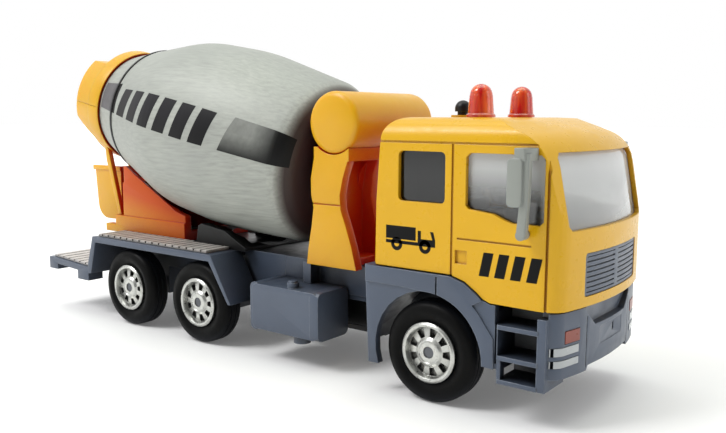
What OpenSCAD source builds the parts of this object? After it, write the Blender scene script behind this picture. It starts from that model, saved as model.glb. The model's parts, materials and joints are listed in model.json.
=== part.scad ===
// Toy cement mixer: a small cab-over truck with a drum that turns by hand.
// Millimetres. +X is forward, +Y is the truck's left, +Z is up.
// The origin is on the floor under the middle of the truck.

/* [Wheels] */
// Tyre radius, which is also the height of the axles
tyre_r = 11; // [10.6:0.1:11.4]
// Width of a tyre
tyre_w = 6.2; // [5.6:0.1:6.6]
// Radius of the hub inside the tyre
hub_r = 6.5; // [6.2:0.1:7]
// Number of slots in a hub
hub_slots = 9; // [5:1:12]
// Radius of the steel axles
axle_r = 1.25; // [1:0.05:1.4]
// Position of the front axle
front_axle_x = 55.4; // [54.9:0.1:55.9]
// Position of the middle axle
mid_axle_x = -17.4; // [-17.6:0.1:-17.2]
// Position of the rear axle
rear_axle_x = -47.1; // [-47.6:0.1:-46.6]

/* [Cab] */
// Half of the cab's width
cab_hw = 23; // [22.6:0.1:23.4]
// Height of the roof
roof_z = 60.3; // [59.8:0.1:60.8]
// Wall thickness of the cab
cab_wall = 1; // [0.9:0.1:1.2]
// How far the windscreen leans back, in degrees
screen_rake = 10.5; // [9:0.5:12]

/* [Drum] */
// Tilt of the drum's axis, in degrees
drum_tilt = 11; // [10:0.5:12]
// Largest radius of the drum
drum_r = 25.2; // [24.4:0.2:25.4]
// Wall thickness of the drum
drum_wall = 1.2; // [1:0.1:1.5]

/* [Chute] */
// Width of the discharge chute
chute_w = 14; // [12:0.5:15]

/* [Hidden] */
$fn = 64;
gap = 0.06;
run = 0.05;
seam = 0.3;
seg = 6;

// Layout
front_x = 86.9;
cab_rear_x = 41;
axle_xs = [front_axle_x, mid_axle_x, rear_axle_x];
hub_out = 0.3;
wheel_face = cab_hw - 0.5;
tyre_in = wheel_face - tyre_w;
deck_z = 24.5;
deck_t = 1.6;
deck_x0 = -62.9;
deck_x1 = -11.3;
deck_hw = 23;
platform_x0 = -86.9;
platform_z = 14.6;
platform_rise = 1.3;
rail_in = 8.5;
rail_out = 10.5;
rail_z0 = 16;
rail_z1 = deck_z - deck_t - gap;
frame_x0 = -61.4;
frame_x1 = 38.4;
frame_front = 79;
block_half = 3.6;
block_z0 = 7.8;
seat_z = deck_z + gap;

// Cab outline
screen_r = 85;
corner_r = 4.5;
rear_r = 1.2;
belt_z = 39.5;
gutter_z = 55.2;
roof_r = 5.3;
nose_r = 8.5;
roof_bend_r = 40;
roof_bend_a = 20;
tail_r = 4.2;
tail_lean = 2.2;
corner_y = cab_hw - corner_r;
screen_cx = front_x - screen_r;
corner_x = screen_cx + sqrt(pow(screen_r - corner_r, 2) - pow(corner_y, 2));
corner_a = asin(corner_y / (screen_r - corner_r));
skirt_z = 28.6;
chin_z = 23.8;
chin_x = 70;
step_up_x = 60.8;
window_top = 53.4;
pillar_x = 60.8;
lamp_x = 59.7;
lamp_y = 9.6;
lamp_hole_r = 2.45;
button_x = 49.8;
button_hole_r = 1.3;
board_z = 54.5;
board_t = 1;

// Drum stations along its axis, counted forwards from the seam
drum_x = -56.8;
drum_z = 60.9;
seam_r = 19.3;
mouth_s = -13;
journal_r = 15;
lip_s = -10.5;
lip_r = 16.2;
belly_s0 = 20;
belly_s1 = 40;
belly_r0 = drum_r - 0.4;
shoulder_s = 66;
shoulder_r = 21.7;
nose_s = 72.2;
spindle_r = 1.5;
spindle_s0 = 70.8;
spindle_s1 = 80.6;
collar_r = 17.1;
collar_s0 = -21;
collar_s1 = -10;
ring_s0 = -15;
roof_flat = 12.6;

// Tower and tank
tank_x = 24.3;
tank_z = 58.9;
tank_r = 7.4;
tank_hl = 16.3;
tower_hw = 16;
tower_t = 2.5;

// Chute
chute_x0 = -84.2;
chute_x1 = -70.4;
chute_z0 = 27.2;
chute_z1 = 44.3;
chute_t = 1.2;
pivot_x = -67.6;
pivot_r = 0.9;
knuckle_r = 2.1;

// Side tank
side_x0 = 2.6;
side_x1 = 25;
side_z0 = 7.8;
side_z1 = 19.2;
side_y0 = 10.2;
side_y1 = 22.6;

yellow = [0.95, 0.68, 0.14];
slate = [0.33, 0.37, 0.44];
dark = [0.1, 0.1, 0.11];
steel = [0.75, 0.76, 0.78];

// ---- helpers ----

// Points of an arc from angle a0 to a1
function arc(cx, cy, r, a0, a1, n) =
    [for (i = [0:n]) [cx + r * cos(a0 + (a1 - a0) * i / n), cy + r * sin(a0 + (a1 - a0) * i / n)]];

// Rectangle with rounded corners
function round_rect(x0, y0, x1, y1, r, n) = concat(
    arc(x1 - r, y1 - r, r, 0, 90, n),
    arc(x0 + r, y1 - r, r, 90, 180, n),
    arc(x0 + r, y0 + r, r, 180, 270, n),
    arc(x1 - r, y0 + r, r, 270, 360, n));

// A box given by its low and high corners
module box(lo, hi) {
    translate(lo) cube(hi - lo);
}

// A side outline in X and Z, given thickness from y0 to y1
module side_slab(points, y0, y1) {
    translate([0, y1, 0]) rotate([90, 0, 0]) linear_extrude(height = y1 - y0) polygon(points);
}

// A front outline in Y and Z, given thickness from x0 to x1
module front_slab(points, x0, x1) {
    translate([x0, 0, 0]) rotate([90, 0, 90]) linear_extrude(height = x1 - x0) polygon(points);
}

// A round bar along Y
module cross_bar(x, z, r, y0, y1) {
    translate([x, y1, z]) rotate([90, 0, 0]) cylinder(r = r, h = y1 - y0);
}

// The same shape on both sides of the truck
module both_sides() {
    children();
    mirror([0, 1, 0]) children();
}

// Moves a shape drawn along X into the drum's tilted axis
module on_drum_axis() {
    translate([drum_x, 0, drum_z]) rotate([0, drum_tilt, 0]) children();
}

// A round bar along X
module along_axis(x0, x1, r) {
    translate([x0, 0, 0]) rotate([0, 90, 0]) cylinder(r = r, h = x1 - x0);
}

// A shape turned about the drum's axis, from points of radius and station
module drum_turned(points) {
    on_drum_axis() rotate([0, 90, 0]) rotate_extrude() polygon(points);
}

// ---- cab form ----

function cab_plan(i) = concat(
    arc(corner_x, -corner_y, corner_r - i, -90, -corner_a, seg),
    arc(screen_cx, 0, screen_r - i, -corner_a + 3, corner_a - 3, seg),
    arc(corner_x, corner_y, corner_r - i, corner_a, 90, seg),
    [[cab_rear_x + rear_r + i, cab_hw - i], [cab_rear_x + i, cab_hw - rear_r - i]],
    [[cab_rear_x + i, rear_r + i - cab_hw], [cab_rear_x + rear_r + i, i - cab_hw]]);

// Centres of the roof's front edge and of the slope behind it
nose_z = roof_z - roof_bend_r + (roof_bend_r - nose_r) * cos(roof_bend_a);
nose_h = (nose_z - belt_z + nose_r * sin(screen_rake)) / cos(screen_rake);
nose_x = front_x - nose_r * cos(screen_rake) - nose_h * sin(screen_rake);
nose_a = 90 - roof_bend_a - screen_rake;
roof_bend_x = nose_x - (roof_bend_r - nose_r) * sin(roof_bend_a);

function cab_profile(i) = concat(
    [[cab_rear_x + i - 0.6, 18], [front_x + 4, 18], [front_x + 4, nose_z]],
    [[roof_bend_x + (roof_bend_r - i) * sin(roof_bend_a) + 12 * cos(roof_bend_a),
        roof_z - roof_bend_r + (roof_bend_r - i) * cos(roof_bend_a) - 12 * sin(roof_bend_a)]],
    arc(roof_bend_x, roof_z - roof_bend_r, roof_bend_r - i, 90 - roof_bend_a, 90, 4),
    arc(cab_rear_x + tail_lean + tail_r, roof_z - tail_r, tail_r - i, 90, 180, seg));

// Windscreen surface and the roof's front edge, as radius and height in the leaning frame
function cab_front(i) = concat(
    [[0, -30], [screen_r - i, -30]],
    arc(screen_r - nose_r, nose_h, nose_r - i, 0, nose_a, seg),
    [[screen_r - nose_r + (nose_r - i) * cos(nose_a) - 50 * sin(nose_a),
        nose_h + (nose_r - i) * sin(nose_a) + 50 * cos(nose_a)]],
    [[0, nose_h + 50]]);

function cab_section(i) = concat(
    [[i - cab_hw, 18], [cab_hw - i, 18]],
    arc(cab_hw - roof_r, roof_z - roof_r, roof_r - i, 0, 90, seg),
    arc(roof_r - cab_hw, roof_z - roof_r, roof_r - i, 90, 180, seg));

// The cab's outer form moved inwards by i, open ended below
module cab_form(i) {
    intersection() {
        translate([0, 0, 18]) linear_extrude(height = roof_z) polygon(cab_plan(i));
        side_slab(cab_profile(i), -cab_hw - 1, cab_hw + 1);
        front_slab(cab_section(i), cab_rear_x - 2, front_x + 2);
        translate([front_x, 0, belt_z]) rotate([0, -screen_rake, 0])
            translate([-screen_r, 0, 0]) rotate_extrude($fn = 256) polygon(cab_front(i));
    }
}

// Lower edge of the cab, from the rear to the front
cab_lower = concat(
    [[cab_rear_x - 3, skirt_z], [step_up_x, skirt_z]],
    [[64.2, 27.6], [66.8, 25.9], [68.4, 24.6], [chin_x, chin_z + 0.2]],
    [[front_x + 3, chin_z]]);

rear_window = round_rect(47.9, 42.9, 59.3, window_top, 1, 3);
door_window = [[64.1, 43], [64.8, 42.3], [70.2, 41.7], [72.6, 40.7], [74.2, 40.2], [80, 40.2],
    [80.8, 41], [80.8, 52.6], [80, window_top], [64.9, window_top], [64.1, 52.6]];
windscreen = [[-19.6, 40], [-18.7, 39.1], [18.7, 39.1], [19.6, 40],
    [19.9, 52.8], [18.9, 53.8], [-18.9, 53.8], [-19.9, 52.8]];

// Prisms through the window openings
module window_prisms() {
    side_slab(rear_window, -cab_hw - 2, cab_hw + 2);
    side_slab(door_window, -cab_hw - 2, cab_hw + 2);
    front_slab(windscreen, 78, front_x + 2);
}

module cab_shell() color(yellow) {
    difference() {
        union() {
            difference() {
                cab_form(0);
                cab_form(cab_wall);
                side_slab(concat([[front_x + 3, 10], [cab_rear_x - 3, 10]], cab_lower), -30, 30);
            }
            translate([button_x, 0, roof_z - 0.4]) cylinder(r = 2.7, h = 0.9);
            front_slab(round_rect(-15, 25, 15, 35.2, 0.8, 2), 83.4, 84.8);
        }
        window_prisms();
        // Recess for the grille
        front_slab(round_rect(-14, 25.8, 14, 34.4, 0.6, 2), 84.8, front_x + 2);
        // Door shut lines
        both_sides() {
            box([pillar_x, cab_hw - 0.35, 20], [pillar_x + 0.5, cab_hw + 1, gutter_z]);
            box([81.3, 22.2, 20], [81.8, cab_hw + 1, gutter_z - 2]);
            box([62.3, cab_hw - 0.3, 36], [78.4, cab_hw + 1, 36.35]);
            box([61.9, cab_hw - 0.55, 31.1], [64.6, cab_hw + 1, 33.8]);
            box([cab_rear_x + 2, cab_hw - 0.3, gutter_z - 0.15], [82.4, cab_hw + 1, gutter_z + 0.25]);
            translate([lamp_x, lamp_y, roof_z - 3]) cylinder(r = lamp_hole_r, h = 5);
        }
        translate([button_x, 0, roof_z - 3]) cylinder(r = button_hole_r, h = 5);
        // Mirror sockets
        both_sides() cross_bar(78, 54.2, 0.5, cab_hw - 2, cab_hw + 1);
        both_sides() cross_bar(77.6, 38.6, 0.5, cab_hw - 2, cab_hw + 1);
    }
}

module cab_glazing() color([0.85, 0.9, 0.92, 0.35]) {
    intersection() {
        difference() {
            cab_form(cab_wall + gap);
            cab_form(cab_wall + 0.8);
        }
        box([46.6, -cab_hw, 38.4], [front_x, cab_hw, 54.2]);
    }
}

// Bench seat with its back, seen low behind the windows
module seat(x, y) {
    side_slab([[x, 32.3], [x + 6.5, 32.3], [x + 7, 35.6], [x + 2.2, 35.4], [x + 1, 41], [x - 1.2, 41]],
        y - 4.4, y + 4.4);
}

module cab_interior() color(dark) {
    box([45, -20, 31], [79.6, 20, 32.4]);
    both_sides() {
        seat(62, 9);
        seat(49, 9);
        box([46, 18.6, 32.2], [79, 20, 37.6]);
    }
    // Dashboard
    side_slab([[74.5, 32.3], [79.2, 32.3], [80, 38], [76, 40.2], [74.5, 38]], -17, 17);
    // Steering column
    translate([75, 9, 38]) rotate([0, -55, 0]) cylinder(r = 0.6, h = 3.6, $fn = 24);
    // Walls that carry the circuit board
    box([45, -15, 32.2], [47.6, 15, board_z - gap]);
}

module steering_wheel() color([0.16, 0.16, 0.17]) {
    translate([75, 9, 38]) rotate([0, -55, 0]) translate([0, 0, 3.7]) {
        difference() {
            union() {
                rotate_extrude() translate([2.9, 0.5]) circle(r = 0.5, $fn = 24);
                cylinder(r = 0.9, h = 0.9, $fn = 24);
                for (a = [90, 210, 330]) rotate([0, 0, a]) box([0, -0.35, 0.2], [2.9, 0.35, 0.7]);
            }
            translate([0, 0, -1]) cylinder(r = 0.3, h = 1.4, $fn = 24);
        }
    }
}

module grille() color(slate) {
    intersection() {
        union() {
            // Back plate with raised ribs and a frame
            intersection() {
                front_slab(round_rect(-13.9, 25.9, 13.9, 34.3, 0.5, 2), 84.86, front_x + 1);
                cab_form(0.5);
            }
            for (k = [0:6]) box([84.9, -13.4, 26.72 + k * 1.02], [front_x + 1, 13.4, 27.4 + k * 1.02]);
            box([84.9, -0.9, 26], [front_x + 1, 0.9, 34.2]);
            difference() {
                front_slab(round_rect(-13.9, 25.9, 13.9, 34.3, 0.5, 2), 84.9, front_x + 1);
                front_slab(round_rect(-13.2, 26.5, 13.2, 33.7, 0.3, 2), 83, front_x + 2);
            }
        }
        cab_form(0.15);
    }
}

// ---- slate base under the cab ----

arch_r = 13.3;
arch_a0 = 200;
lip_w = 2.9;
lip_out = 0.5;
// Upper edge of the fender, just under the cab
base_top = [[68.4, 24.6 - seam], [66.8, 25.9 - seam], [64.2, 27.6 - seam], [step_up_x, skirt_z - seam]];
step_z = 8.1;
leg_z = 10.9;
step_x0 = 71.7;
step_x1 = 82;
base_outline = concat(
    [[39.2, skirt_z - seam], [40.2, 6.4], [42.4, 6.4]],
    arc(front_axle_x, tyre_r, arch_r, arch_a0, 0, 16),
    [[step_x0, leg_z], [step_x0 + 0.2, step_z], [step_x1, step_z], [step_x1, chin_z - seam]],
    [[chin_x, chin_z + 0.2 - seam]], base_top);
// Raised band along the fender's top that runs down the front of the wheel arch
band_outline = concat(
    [[39.6, skirt_z - seam], [39.6, 24.7], [49, 24.6]],
    arc(front_axle_x, tyre_r, arch_r, 85, 0, 12),
    [[step_x0 - 0.4, leg_z], [step_x0 - 0.6, 17]],
    arc(front_axle_x, tyre_r, arch_r + lip_w, 32, 48, 3), base_top);

bumper_z = 10.5;
bumper_in = 0.5;

module bumper_ring(i, j) {
    intersection() {
        difference() {
            translate([0, 0, bumper_z]) linear_extrude(height = chin_z - seam - bumper_z)
                polygon(cab_plan(i + bumper_in));
            translate([0, 0, 9]) linear_extrude(height = 16) polygon(cab_plan(j + bumper_in));
        }
        box([80, -30, 0], [90, 30, 40]);
    }
}

module cab_base() color(slate) {
    difference() {
        union() {
            // Fenders, each with a soft raised band
            both_sides() {
                side_slab(base_outline, cab_hw - 1.8, cab_hw);
                side_slab(band_outline, cab_hw - 1, cab_hw + lip_out);
            }
            // Inner wheel arches
            both_sides() difference() {
                side_slab(concat([[39.2, skirt_z - seam], [39.9, 12]],
                    arc(front_axle_x, tyre_r, arch_r, 176, 4, 14), [[70, chin_z - seam]], base_top),
                    12.5, cab_hw - 1);
                side_slab([[45, 25.8], [64, 25.6], [64, 26.5], [45, 26.9]], 11, cab_hw - 1.8);
            }
            // Floor over the wheels
            box([39.2, -12.6, 24.4], [80, 12.6, 25.8]);
            box([39.2, -cab_hw + 1, 24.4], [40.6, cab_hw - 1, skirt_z - seam]);
            // Steps
            both_sides() {
                box([69.4, 12.5, leg_z], [step_x0 + 1, 15.4, 12.4]);
                box([69.4, 14, leg_z], [step_x1, 15.4, chin_z - seam]);
                box([step_x0 + 0.2, 14, step_z], [step_x1, 15.4, leg_z + 1]);
                box([step_x0 - 1, 15, leg_z], [step_x0 + 1, cab_hw - 1, chin_z - seam - 1]);
                box([80.2, 15, step_z], [step_x1, cab_hw, chin_z - seam]);
                for (z = [step_z, 12.9, 19.1]) box([step_x0 + 0.2, 15, z], [80.4, cab_hw + 0.2, z + 0.9]);
            }
            box([69.4, -14.2, leg_z], [71, 14.2, 16.6]);
            // Bumper
            bumper_ring(0, 2);
            box([79, -20, bumper_z], [83.6, 20, bumper_z + 1.6]);
        }
        // Step recesses open to the side
        both_sides() {
            box([72.6, 15.4, step_z + 0.9], [80.2, cab_hw + 1, 12.9]);
            box([71.9, 15.4, 13.8], [80.2, cab_hw + 1, 19.1]);
            box([71.2, 15.4, 20], [80.2, cab_hw + 1, 24.4]);
            box([80.1, 20.6, 22.4], [step_x1 + 0.02, cab_hw + 1, 24.4]);
            // Grooves at the fender's joint and behind the front leg
            box([57.6, cab_hw - 0.3, 24], [58, cab_hw + 1, skirt_z - 0.8]);
            box([step_x0 - 0.4, cab_hw - 0.9, 12], [step_x0, cab_hw + 1, 22]);
        }
        // Notch under the cab's nose
        front_slab([[-12.6, 30], [-12, 22.4], [-8.3, 19.4], [8.3, 19.4], [12, 22.4], [12.6, 30]], 84.5, 90);
        // Raised lower edge between the lamps
        front_slab([[-11.8, 10], [-10.8, 11.5], [10.8, 11.5], [11.8, 10]], 83.6, 90);
        // Number plate recess
        front_slab(round_rect(-6.2, 14.9, 6.2, 18.6, 0.4, 2), 86.1, 90);
        front_slab([[0.9, 16.1], [1.7, 16.5], [1.7, 18.2], [0.9, 17.8]], 85.2, 90);
        both_sides() {
            // Joints between the bumper and its corners
            box([84, 11.5, 11.2], [90, 11.8, 21.6]);
            // Lamp pockets
            lamp_pocket(14.6, 12.8, 14.3);
            lamp_pocket(14.6, 15.1, 16.8);
            intersection() {
                bumper_ring(-1, 0.9);
                box([83, 14.3, 17.3], [90, 19.2, 19.9]);
            }
        }
        // Slots that the chassis screws pass through
        for (x = [45.4, 76.4]) translate([x, 0, 20]) cylinder(r = 1.05, h = 10, $fn = 32);
    }
}

module lamp_pocket(y0, z0, z1) {
    intersection() {
        bumper_ring(-1, 0.9);
        box([step_x1 + 0.2, y0, z0], [90, 30, z1]);
    }
}

module lamp_strip(z0, z1) {
    intersection() {
        bumper_ring(-0.12, 0.84);
        union() {
            box([83, 14.7, z0], [90, 21.7, z1]);
            box([step_x1 + 0.3, 21.9, z0], [90, 30, z1]);
        }
    }
}

module headlamp_right() color([0.92, 0.92, 0.9]) {
    mirror([0, 1, 0]) headlamp_left();
}

module headlamp_left() color([0.92, 0.92, 0.9]) {
    lamp_strip(12.86, 14.24);
    lamp_strip(15.16, 16.74);
}

module indicator_left() color([0.9, 0.42, 0.2]) {
    intersection() {
        bumper_ring(-0.1, 0.84);
        box([83.1, 14.4, 17.4], [90, 19.1, 19.8]);
    }
}

module indicator_right() color([0.9, 0.42, 0.2]) {
    mirror([0, 1, 0]) indicator_left();
}

module mirror_left() color([0.6, 0.62, 0.6]) {
    difference() {
        union() {
            // Upper bracket with its pin, head, arm, and lower foot with its pin
            cross_bar(78, 54.2, 0.44, cab_hw - cab_wall + 0.1, cab_hw + 1);
            translate([0, 0, 52.5]) linear_extrude(height = 2.3) polygon([[76.9, cab_hw + 0.3],
                [79.5, cab_hw + 0.3], [79.3, cab_hw + 2.6], [78.5, cab_hw + 4.2], [76.5, cab_hw + 4.2],
                [76.1, cab_hw + 3.2]]);
            side_slab(round_rect(75.2, 43.9, 78.2, 52.9, 0.8, 3), cab_hw + 2.8, cab_hw + 4.4);
            side_slab([[77.2, 53.8], [79.3, 53.8], [79.2, 46], [78.8, 38.2], [77, 38.2], [77.5, 44]],
                cab_hw + 2.4, cab_hw + 3.8);
            cross_bar(77.6, 38.6, 0.44, cab_hw - cab_wall + 0.1, cab_hw + 3);
            cross_bar(77.8, 38.6, 0.95, cab_hw + 1.6, cab_hw + 3.7);
        }
        // Hollow behind the glass faces the rear
        box([74.5, cab_hw + 3.1, 44.6], [75.6, cab_hw + 4.1, 51.1]);
    }
}

module mirror_right() color([0.6, 0.62, 0.6]) {
    mirror([0, 1, 0]) mirror_left();
}

// ---- roof lamps and button ----

beacon_foot = roof_z + gap;

module beacon(y) {
    translate([lamp_x, y, beacon_foot]) difference() {
        union() {
            rotate_extrude() polygon(concat([[0, 0], [3.1, 0], [3.1, 0.5], [2.75, 0.8]],
                [[2.45, 4.6]], arc(0, 4.6, 2.4, 0, 90, 8)));
            translate([0, 0, -2]) cylinder(r = lamp_hole_r - run, h = 2.2);
        }
        translate([0, 0, -3]) cylinder(r = 1.75, h = 7.4);
        translate([0, 0, 4.4]) sphere(r = 1.75);
    }
}

module beacon_right() color([0.85, 0.16, 0.08, 0.7]) {
    beacon(-lamp_y);
}

module beacon_left() color([0.85, 0.16, 0.08, 0.7]) {
    beacon(lamp_y);
}

module beacon_leds() color([0.9, 0.85, 0.8]) {
    for (y = [-lamp_y, lamp_y]) {
        translate([lamp_x, y, board_z + board_t + gap]) {
            cylinder(r = 1.45, h = 5.4, $fn = 32);
            translate([0, 0, 5.4]) sphere(r = 1.45, $fn = 32);
        }
    }
}

module circuit_board() color([0.12, 0.36, 0.2]) {
    difference() {
        union() {
            box([46.5, -14, board_z], [65, 14, board_z + board_t]);
            // Press switch under the button
            box([button_x - 2.6, -2.6, board_z], [button_x + 2.6, 2.6, board_z + board_t + 0.5]);
            box([53.4, -3, board_z], [56.6, 3, board_z + board_t + 0.9]);
        }
        for (y = [-11.5, 11.5]) translate([48.6, y, board_z - 1]) cylinder(r = 0.8, h = 4, $fn = 24);
    }
}

button_z = roof_z + 1.3;
flange_z = roof_z - cab_wall - 0.7 - gap;

module roof_button() color(dark) {
    translate([button_x, 0, 0]) {
        translate([0, 0, button_z]) cylinder(r = 1.85, h = 0.7);
        intersection() {
            translate([0, 0, button_z + 0.7]) sphere(r = 1.85);
            translate([0, 0, button_z + 0.6]) cylinder(r = 3, h = 4);
        }
        translate([0, 0, 56.8]) cylinder(r = button_hole_r - run, h = button_z - 56.7);
        translate([0, 0, flange_z]) cylinder(r = 2.3, h = 0.7);
    }
}

module button_spring() color(steel) {
    translate([button_x, 0, board_z + board_t + 0.5 + gap]) difference() {
        cylinder(r = 2, h = flange_z - board_z - board_t - 0.5 - 2 * gap, $fn = 48);
        translate([0, 0, -1]) cylinder(r = 1.6, h = 6, $fn = 48);
    }
}

// ---- chassis ----

battery_x0 = -6;
battery_x1 = 33.8;
battery_hw = 7.6;
cell_r = 5.8;
cell_t = 5.4;
cell_z = 10.4;
screw_xs = [45.4, 21, -38, 76.4];

module chassis_frame() color(slate) {
    difference() {
        union() {
            both_sides() box([frame_x0, rail_in, rail_z0], [frame_x1, rail_out, rail_z1]);
            // Top plate between the deck and the cab
            box([deck_x1 + gap, -rail_out, rail_z1 - 0.2], [frame_x1, rail_out, deck_z]);
            box([frame_x1 - 1, -9, 17], [frame_front, 9, 24.3]);
            box([frame_front - 1, -9, 14], [frame_front + 1.5, 9, 22]);
            // Axle blocks
            for (x = axle_xs) {
                box([x - block_half, -rail_out, block_z0], [x + block_half, rail_out, rail_z0 + 1.2]);
            }
            // Cross members
            for (x = [-61, -34, -8.6]) box([x, -rail_in - 1, rail_z0], [x + 2.4, rail_in + 1, rail_z1]);
            box([-40.5, -3, rail_z0], [-35.5, 3, rail_z1]);
            box([-40.5, -rail_out, rail_z0], [-35.5, rail_out, rail_z0 + 2]);
            // Brackets that carry the side tanks
            both_sides() {
                box([13.4, rail_out - 0.1, side_z1 + gap], [15.8, 14.4, deck_z]);
                box([4, rail_out - 0.1, side_z1 - 2], [frame_x1, rail_out + 0.4, deck_z]);
            }
        }
        // Axle bores
        for (x = axle_xs) cross_bar(x, tyre_r, axle_r + run, -20, 20);
        // Screw holes, with seats for the heads
        for (x = screw_xs) {
            translate([x, 0, 5]) cylinder(r = 1.05, h = 30, $fn = 32);
        }
        translate([45.4, 0, 10]) cylinder(r = 2.1, h = 9, $fn = 32);
        translate([76.4, 0, 10]) cylinder(r = 2.1, h = 9, $fn = 32);
        // Hollow of the front spine
        box([49, -7, 16], [frame_front - 5.4, 7, 22.6]);
    }
    // Bearing walls over the front axle
    difference() {
        box([front_axle_x - 1.5, -7.2, 14], [front_axle_x + 1.5, 7.2, 22.8]);
        cross_bar(front_axle_x, tyre_r, axle_r + run, -20, 20);
    }
}

module battery_box() color(dark) {
    difference() {
        box([battery_x0, -battery_hw, 9], [battery_x1, battery_hw, rail_z1 - 4.2]);
        for (k = [0:2]) {
            translate([battery_x0 + 7.2 + k * 11.9, 0, 8]) cylinder(r = cell_r + 0.3, h = 8.6);
        }
        box([battery_x0 + 5, -3, 8], [battery_x1 - 8, 3, 16.6]);
        translate([battery_x1 - 2, 0, 8]) cylinder(r = 0.6, h = 8, $fn = 24);
    }
}

module button_cells() color([0.8, 0.8, 0.82]) {
    for (k = [0:2]) {
        translate([battery_x0 + 7.2 + k * 11.9, 0, cell_z]) {
            cylinder(r = cell_r - 0.1, h = cell_t - 0.6);
            cylinder(r = cell_r - 0.8, h = cell_t);
        }
    }
}

module battery_cover() color(dark) {
    difference() {
        union() {
            box([battery_x0, -battery_hw, 7.6], [battery_x1, battery_hw, 8.9]);
            for (k = [0:5]) translate([battery_x0 + 3 + k * 1.6, -5, 7.2]) cube([0.8, 10, 0.5]);
        }
        translate([battery_x1 - 2, 0, 7]) cylinder(r = 0.75, h = 3, $fn = 24);
        translate([battery_x1 - 2, 0, 7]) cylinder(r = 1.5, h = 1.2, $fn = 24);
    }
}

module cover_screw() color(steel) {
    translate([battery_x1 - 2, 0, 7.4]) difference() {
        union() {
            cylinder(r = 1.4, h = 0.8, $fn = 24);
            cylinder(r = 0.55, h = 5.6, $fn = 24);
        }
        box([-0.2, -1, -0.1], [0.2, 1, 0.35]);
        box([-1, -0.2, -0.1], [1, 0.2, 0.35]);
    }
}

module speaker() color([0.2, 0.2, 0.21]) {
    translate([60.5, 0, 26]) difference() {
        union() {
            cylinder(r = 9, h = 2.4);
            cylinder(r = 5.4, h = 4.4);
        }
        translate([0, 0, -1]) cylinder(r = 7.6, h = 1.8);
    }
}

module machine_screw(z, length) {
    translate([0, 0, z]) difference() {
        union() {
            cylinder(r = 1.9, h = 1.2, $fn = 32);
            cylinder(r = 1, h = length, $fn = 32);
        }
        box([-0.25, -1.3, -0.1], [0.25, 1.3, 0.6]);
        box([-1.3, -0.25, -0.1], [1.3, 0.25, 0.6]);
    }
}

module chassis_screws() color(steel) {
    translate([45.4, 0, 0]) machine_screw(17.6, 10);
    translate([76.4, 0, 0]) machine_screw(17.6, 10);
    translate([-38, 0, 0]) machine_screw(14.7, 11.2);
    translate([21, 0, 0]) machine_screw(21.4, 4.8);
}

module rear_deck() color(slate) {
    difference() {
        union() {
            box([deck_x0, -deck_hw, deck_z - deck_t], [deck_x1, deck_hw, deck_z]);
            // Turned down edges
            both_sides() {
                box([deck_x0, deck_hw - 1, deck_z - 1.7], [deck_x1, deck_hw, deck_z]);
                // Mudguard flaps in front of the middle wheels
                side_slab([[deck_x1 - 0.5, deck_z], [deck_x1, deck_z], [-4, 12.3], [-5, 12.3],
                    [deck_x1 - 0.8, deck_z - 1.6]], 12, deck_hw);
            }
            // Riser down to the platform
            side_slab([[deck_x0 - 0.3, deck_z], [deck_x0 + 1.4, deck_z], [-64.6, platform_z - 1.6],
                [-66.8, platform_z - 1.6], [-66.4, platform_z]], -deck_hw, deck_hw);
            side_slab([[-65.4, platform_z - 1.7], [-65.4, platform_z],
                [platform_x0, platform_z + platform_rise],
                [platform_x0, platform_z + platform_rise - 1.7]], -deck_hw, deck_hw);
            // Rear lip and brackets under the platform
            both_sides() box([platform_x0, deck_hw - 4, platform_z - 2.4],
                [platform_x0 + 4.5, deck_hw, platform_z + 0.6]);
            box([platform_x0, -deck_hw, platform_z - 1.8],
                [platform_x0 + 1.4, deck_hw, platform_z + 0.8]);
            both_sides() box([-71.6, deck_hw - 5, platform_z - 4], [-66, deck_hw, platform_z - 0.4]);
            // Legs down to the frame rails
            both_sides() box([frame_x0 - 0.8, rail_out + gap, 14.4],
                [frame_x0 + 2, rail_out + 1.6, deck_z - 1]);
        }
        // Screw hole under the pedestal
        translate([-38, 0, 15]) cylinder(r = 1.05, h = 20, $fn = 32);
    }
}

tread_pitch = 2.9;

module deck_tread_left() color([0.58, 0.56, 0.54]) {
    difference() {
        box([-61.6, 12.7, seat_z], [-14, 21.8, seat_z + 0.75]);
        for (k = [0:15]) {
            box([-60 + k * tread_pitch, 12, seat_z + 0.2], [-59.4 + k * tread_pitch, 22.4, 26]);
        }
        box([-29, 10, 20], [-7.9, 13.6 + 2 * gap, 30]);
    }
}

module deck_tread_right() color([0.58, 0.56, 0.54]) {
    mirror([0, 1, 0]) deck_tread_left();
}

module platform_tread() color([0.58, 0.56, 0.54]) {
    difference() {
        side_slab([[-67.4, platform_z + 0.22], [-67.4, platform_z + 0.95],
            [-85.6, platform_z + platform_rise + 0.65],
            [-85.6, platform_z + platform_rise]], -21.8, 21.8);
        for (k = [0:5]) {
            box([-84 + k * tread_pitch, -22.4, platform_z + 1.5 - k * 0.18],
                [-83.4 + k * tread_pitch, 22.4, 18]);
        }
    }
}

module drum_saddle() color([0.14, 0.15, 0.17]) {
    difference() {
        side_slab([[-27.5, seat_z], [-8, seat_z], [-8, 25.4], [-16, 29.4], [-25.2, 30.6], [-26.4, 30]],
            -13.6, 13.6);
        drum_turned([[0, 0], [drum_r + 0.9, 0], [drum_r + 0.9, 70], [0, 70]]);
        box([-29, -9.6, 20], [-9.6, 9.6, 28]);
    }
}

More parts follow.
